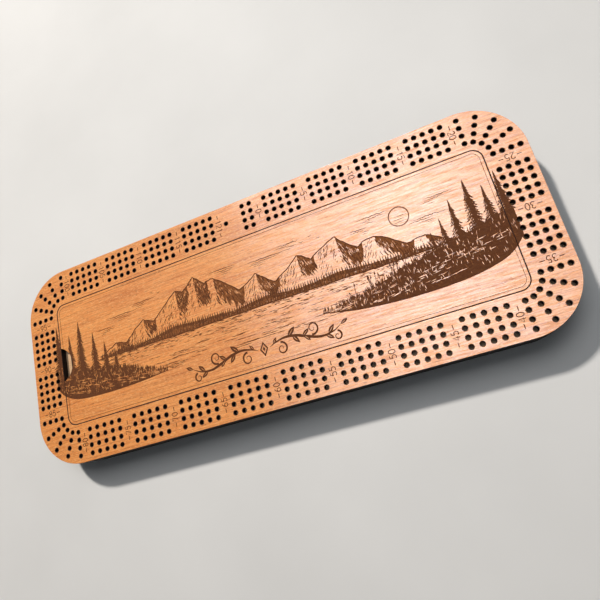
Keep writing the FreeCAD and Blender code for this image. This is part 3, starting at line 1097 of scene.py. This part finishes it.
deck_low, deck_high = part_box("card_deck")
deck_middle = (deck_low + deck_high) / 2
half_card = ((deck_high.x - deck_low.x) / 2 - JOGGLE, (deck_high.y - deck_low.y) / 2 - JOGGLE)
card_step = (deck_high.z - deck_low.z) / CARDS
joggling = random.Random(5)


def back_pattern():
    """The back on a card at the origin, as loops, each with its finish. Later ones lie over."""
    pattern = []
    for lines_out, finish in ((3, RED), (2, WHITE), (0, RED)):
        inset = BACK_BORDER - lines_out * BACK_LINE
        x, y = half_card[0] - inset, half_card[1] - inset
        pattern.append(([(-x, -y), (x, -y), (x, y), (-x, y)], finish))
    across, along = 2 * x / DIAMONDS_ACROSS, 2 * y / DIAMONDS_ALONG
    for size, finish in ((0.44, WHITE), (0.24, RED)):
        half_x, half_y = across * size, along * size
        for column in range(DIAMONDS_ACROSS):
            for row in range(DIAMONDS_ALONG):
                cx, cy = (column + 0.5) * across - x, (row + 0.5) * along - y
                diamond = [(cx + half_x, cy), (cx, cy + half_y), (cx - half_x, cy), (cx, cy - half_y)]
                pattern.append((diamond, finish))
    return pattern


points, faces, finish_of = [], [], []
outline = rounded_rectangle(*half_card, CARD_CORNER, CARD_CORNER_STEPS)
for number in range(CARDS):
    upper_side = [(outline, WHITE)]
    if number == CARDS - 1:
        upper_side += back_pattern()
    turn = joggling.uniform(-JOGGLE_TURN, JOGGLE_TURN)
    shift_x = joggling.uniform(-JOGGLE_SHARE, JOGGLE_SHARE) * JOGGLE
    shift_y = joggling.uniform(-JOGGLE_SHARE, JOGGLE_SHARE) * JOGGLE
    low = deck_low.z + number * card_step
    flat, triangles, _, held_by = triangulated([loop for loop, _ in upper_side])
    first = len(points)
    for z in (low, low + card_step - CARD_GAP):
        for p in flat:
            x, y = p.x - turn * p.y + shift_x, p.y + turn * p.x + shift_y
            points.append((deck_middle.x + x, deck_middle.y + y, z))
    above = first + len(flat)
    for triangle, holders in zip(triangles, held_by):
        faces.append([first + v for v in triangle][::-1])
        faces.append([above + v for v in triangle])
        finish_of += [WHITE, upper_side[max(holders)][1]]
    for v in range(len(outline)):
        w = (v + 1) % len(outline)
        faces.append([first + v, first + w, above + w, above + v])
        finish_of.append(CUT)
card_finishes = [
    coated("card_stock", 900, 3.0, srgb(236, 233, 224), srgb(246, 244, 238), 0.34),
    coated("printed_red", 700, 4.0, srgb(150, 30, 34), srgb(168, 40, 42), 0.32),
    cut_edges(),
]
cards = made_piece("cards", points, faces, card_finishes, finish_of)
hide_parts("card_deck")
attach(cards, "deck")

# ------------------------------------------------------------------------------------- pegs
# Twelve hardwood pegs, three for each of four players, loose in the bay beside the cards: turned
# with a tapered shank, a ring and a domed head, and lacquered in the player's colour.

# Each step is the length from the tip and the radius there, in millimetres.
PEG_PROFILE = [
    (0.0, 0.62), (0.25, 0.84), (0.7, 0.96), (6.0, 1.04), (12.0, 1.14), (17.5, 1.26), (19.2, 1.3),
    (19.5, 1.44), (19.9, 1.5), (20.5, 1.5), (20.9, 1.42), (21.2, 1.22), (21.8, 1.14), (22.5, 1.2),
    (23.6, 1.36), (25.2, 1.47), (27.0, 1.5), (28.8, 1.46), (30.2, 1.32), (31.1, 1.05), (31.7, 0.68),
    (31.95, 0.3),
]
PEG_LENGTH = 32.0
PEG_SIDES = 24
PEG_SMOOTH_UNDER = math.radians(50)
PEG_COLOURS = {
    "red": (srgb(170, 30, 30), srgb(140, 20, 22)),
    "blue": (srgb(34, 76, 152), srgb(22, 54, 118)),
    "green": (srgb(34, 116, 66), srgb(20, 86, 46)),
    "yellow": (srgb(226, 172, 44), srgb(196, 138, 28)),
}


def lacquer(colour):
    """Clear lacquer over dyed wood: the grain shows through as darker streaks, under a gloss."""
    material, tree, shader = new_finish(colour + "_lacquer")
    light, dark = PEG_COLOURS[colour]
    grain = figure(tree, 60, 2400, detail=4.0, roughness=0.6)
    cloud = figure(tree, 90, 260, detail=2.0)
    wood = tinted(tree, light, grain, 0.42, 0.66, 0.75, dark)
    wood = tinted(tree, wood, cloud, 0.4, 0.7, 0.3, dark)
    surface(tree, shader, wood, spread(tree, grain, 0.3, 0.7, 0.3, 0.46))
    shader.inputs["Coat Weight"].default_value = 0.6
    shader.inputs["Coat Roughness"].default_value = 0.12
    relief(tree, shader, grain, 0.02 * mm)
    return material


def turned_peg(name, finish):
    """The peg along its own x axis, laid where its node lies."""
    low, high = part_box(name)
    middle = (low + high) / 2
    corners = [v.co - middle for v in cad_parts[name].data.vertices]
    # the rod's direction is the one in which its corners lie spread the most
    spread_x = sum(c.x * c.x for c in corners)
    spread_y = sum(c.y * c.y for c in corners)
    slant = sum(c.x * c.y for c in corners)
    rings, faces = [], []
    for along, radius in PEG_PROFILE:
        for side in range(PEG_SIDES):
            angle = 2 * math.pi * side / PEG_SIDES
            x = (along - PEG_LENGTH / 2) * mm
            rings.append((x, radius * mm * math.cos(angle), radius * mm * math.sin(angle)))
    for step in range(len(PEG_PROFILE) - 1):
        for side in range(PEG_SIDES):
            a, b = step * PEG_SIDES + side, step * PEG_SIDES + (side + 1) % PEG_SIDES
            faces.append([a, b, b + PEG_SIDES, a + PEG_SIDES])
    last = len(rings) - PEG_SIDES
    faces.append(list(range(PEG_SIDES))[::-1])
    faces.append(list(range(last, last + PEG_SIDES)))
    peg = made_piece(name + "_turned", rings, faces, [finish], smooth_under=PEG_SMOOTH_UNDER)
    peg.location = middle
    peg.rotation_euler.z = math.atan2(2 * slant, spread_x - spread_y) / 2
    return peg


for colour in PEG_COLOURS:
    finish = lacquer(colour)
    for number in (1, 2, 3):
        node = f"peg_{colour}_{number}"
        peg = turned_peg(node, finish)
        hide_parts(node)
        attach(peg, node)

# ------------------------------------------------------------------------- floor, light, camera
# A plain pale floor. A soft lamp from the upper left throws the shadow and a wide one overhead
# lightens it. A broad skylight shows only as a sheen on the varnish, towards the right end.

FLOOR_REACH = 8.0


def pale_floor():
    """Smooth matt paint, very slightly clouded."""
    material, tree, shader = new_finish("pale_floor")
    clouds = figure(tree, 6, 6, detail=4.0)
    paint = shades(tree, clouds, (0.3, srgb(214, 213, 211)), (0.7, srgb(224, 223, 221)))
    surface(tree, shader, paint, 0.8)
    return material


floor_corners = [(x * FLOOR_REACH, y * FLOOR_REACH, 0) for x, y in ((-1, -1), (1, -1), (1, 1), (-1, 1))]
floor = made_piece("floor", floor_corners, [(0, 1, 2, 3)], [pale_floor()])


def lamp(name, place, aim, size, watts, colour):
    """A rectangular lamp that faces a point."""
    light = bpy.data.lights.new(name, "AREA")
    light.shape = "RECTANGLE"
    light.size, light.size_y = size
    light.energy = watts
    light.color = colour
    holder = bpy.data.objects.new(name, light)
    holder.location = place
    holder.rotation_euler = (Vector(aim) - Vector(place)).to_track_quat("-Z", "Y").to_euler()
    bpy.context.scene.collection.objects.link(holder)
    return holder


def fading_out(light):
    """Makes a lamp brightest in its middle, down to nothing half its width or length away."""
    light.use_nodes = True
    tree = light.node_tree
    place = add(tree, "NewGeometry").outputs["Parametric"]
    off = add(tree, "VectorMath", place, (0.5, 0.5, 0.0), operation="DISTANCE").outputs["Value"]
    give(tree, tree.nodes["Emission"].inputs["Strength"], spread(tree, off, 0.0, 0.5, 1.0, 0.0))


lamp(
    "key", place=(-0.84, 1.90, 2.25), aim=(0.0, 0.0, board_high.z), size=(0.2, 0.2),
    watts=89.0, colour=(1.0, 0.95, 0.89),
)
overhead = lamp(
    "overhead", place=(0.12, 0.37, 1.0), aim=(0.1, 0.0, 0.0), size=(0.72, 0.52),
    watts=2.7, colour=(0.96, 0.98, 1.0),
)
overhead.visible_glossy = False
skylight = lamp(
    "skylight", place=(0.15, 0.33, 1.0), aim=(0.15, 0.33, 0.0), size=(1.2, 2.6),
    watts=82.0, colour=(0.85, 0.93, 1.0),
)
skylight.visible_diffuse = False
fading_out(skylight.data)

world = bpy.data.worlds.new("studio")
world.use_nodes = True
surroundings = world.node_tree.nodes["Background"].inputs
surroundings["Color"].default_value = (0.86, 0.90, 0.95, 1.0)
surroundings["Strength"].default_value = 0.06
bpy.context.scene.world = world
bpy.context.scene.view_settings.view_transform = "Standard"

# The camera's own right and up say where it faces.
SENSOR_WIDTH = 36.0
LENS = 29.1
CAMERA_PLACE = (0.1146, -0.1013, 0.3417)
CAMERA_RIGHT = Vector((0.9196, -0.2382, -0.3123))
CAMERA_UP = Vector((0.3053, 0.9338, 0.1867))
camera_data = bpy.data.cameras.new("camera")
camera_data.sensor_width = SENSOR_WIDTH
camera_data.lens = LENS
camera = bpy.data.objects.new("camera", camera_data)
camera.location = CAMERA_PLACE
facing = Matrix((CAMERA_RIGHT, CAMERA_UP, CAMERA_RIGHT.cross(CAMERA_UP))).transposed()
camera.rotation_euler = facing.to_euler()
bpy.context.scene.collection.objects.link(camera)
bpy.context.scene.camera = camera
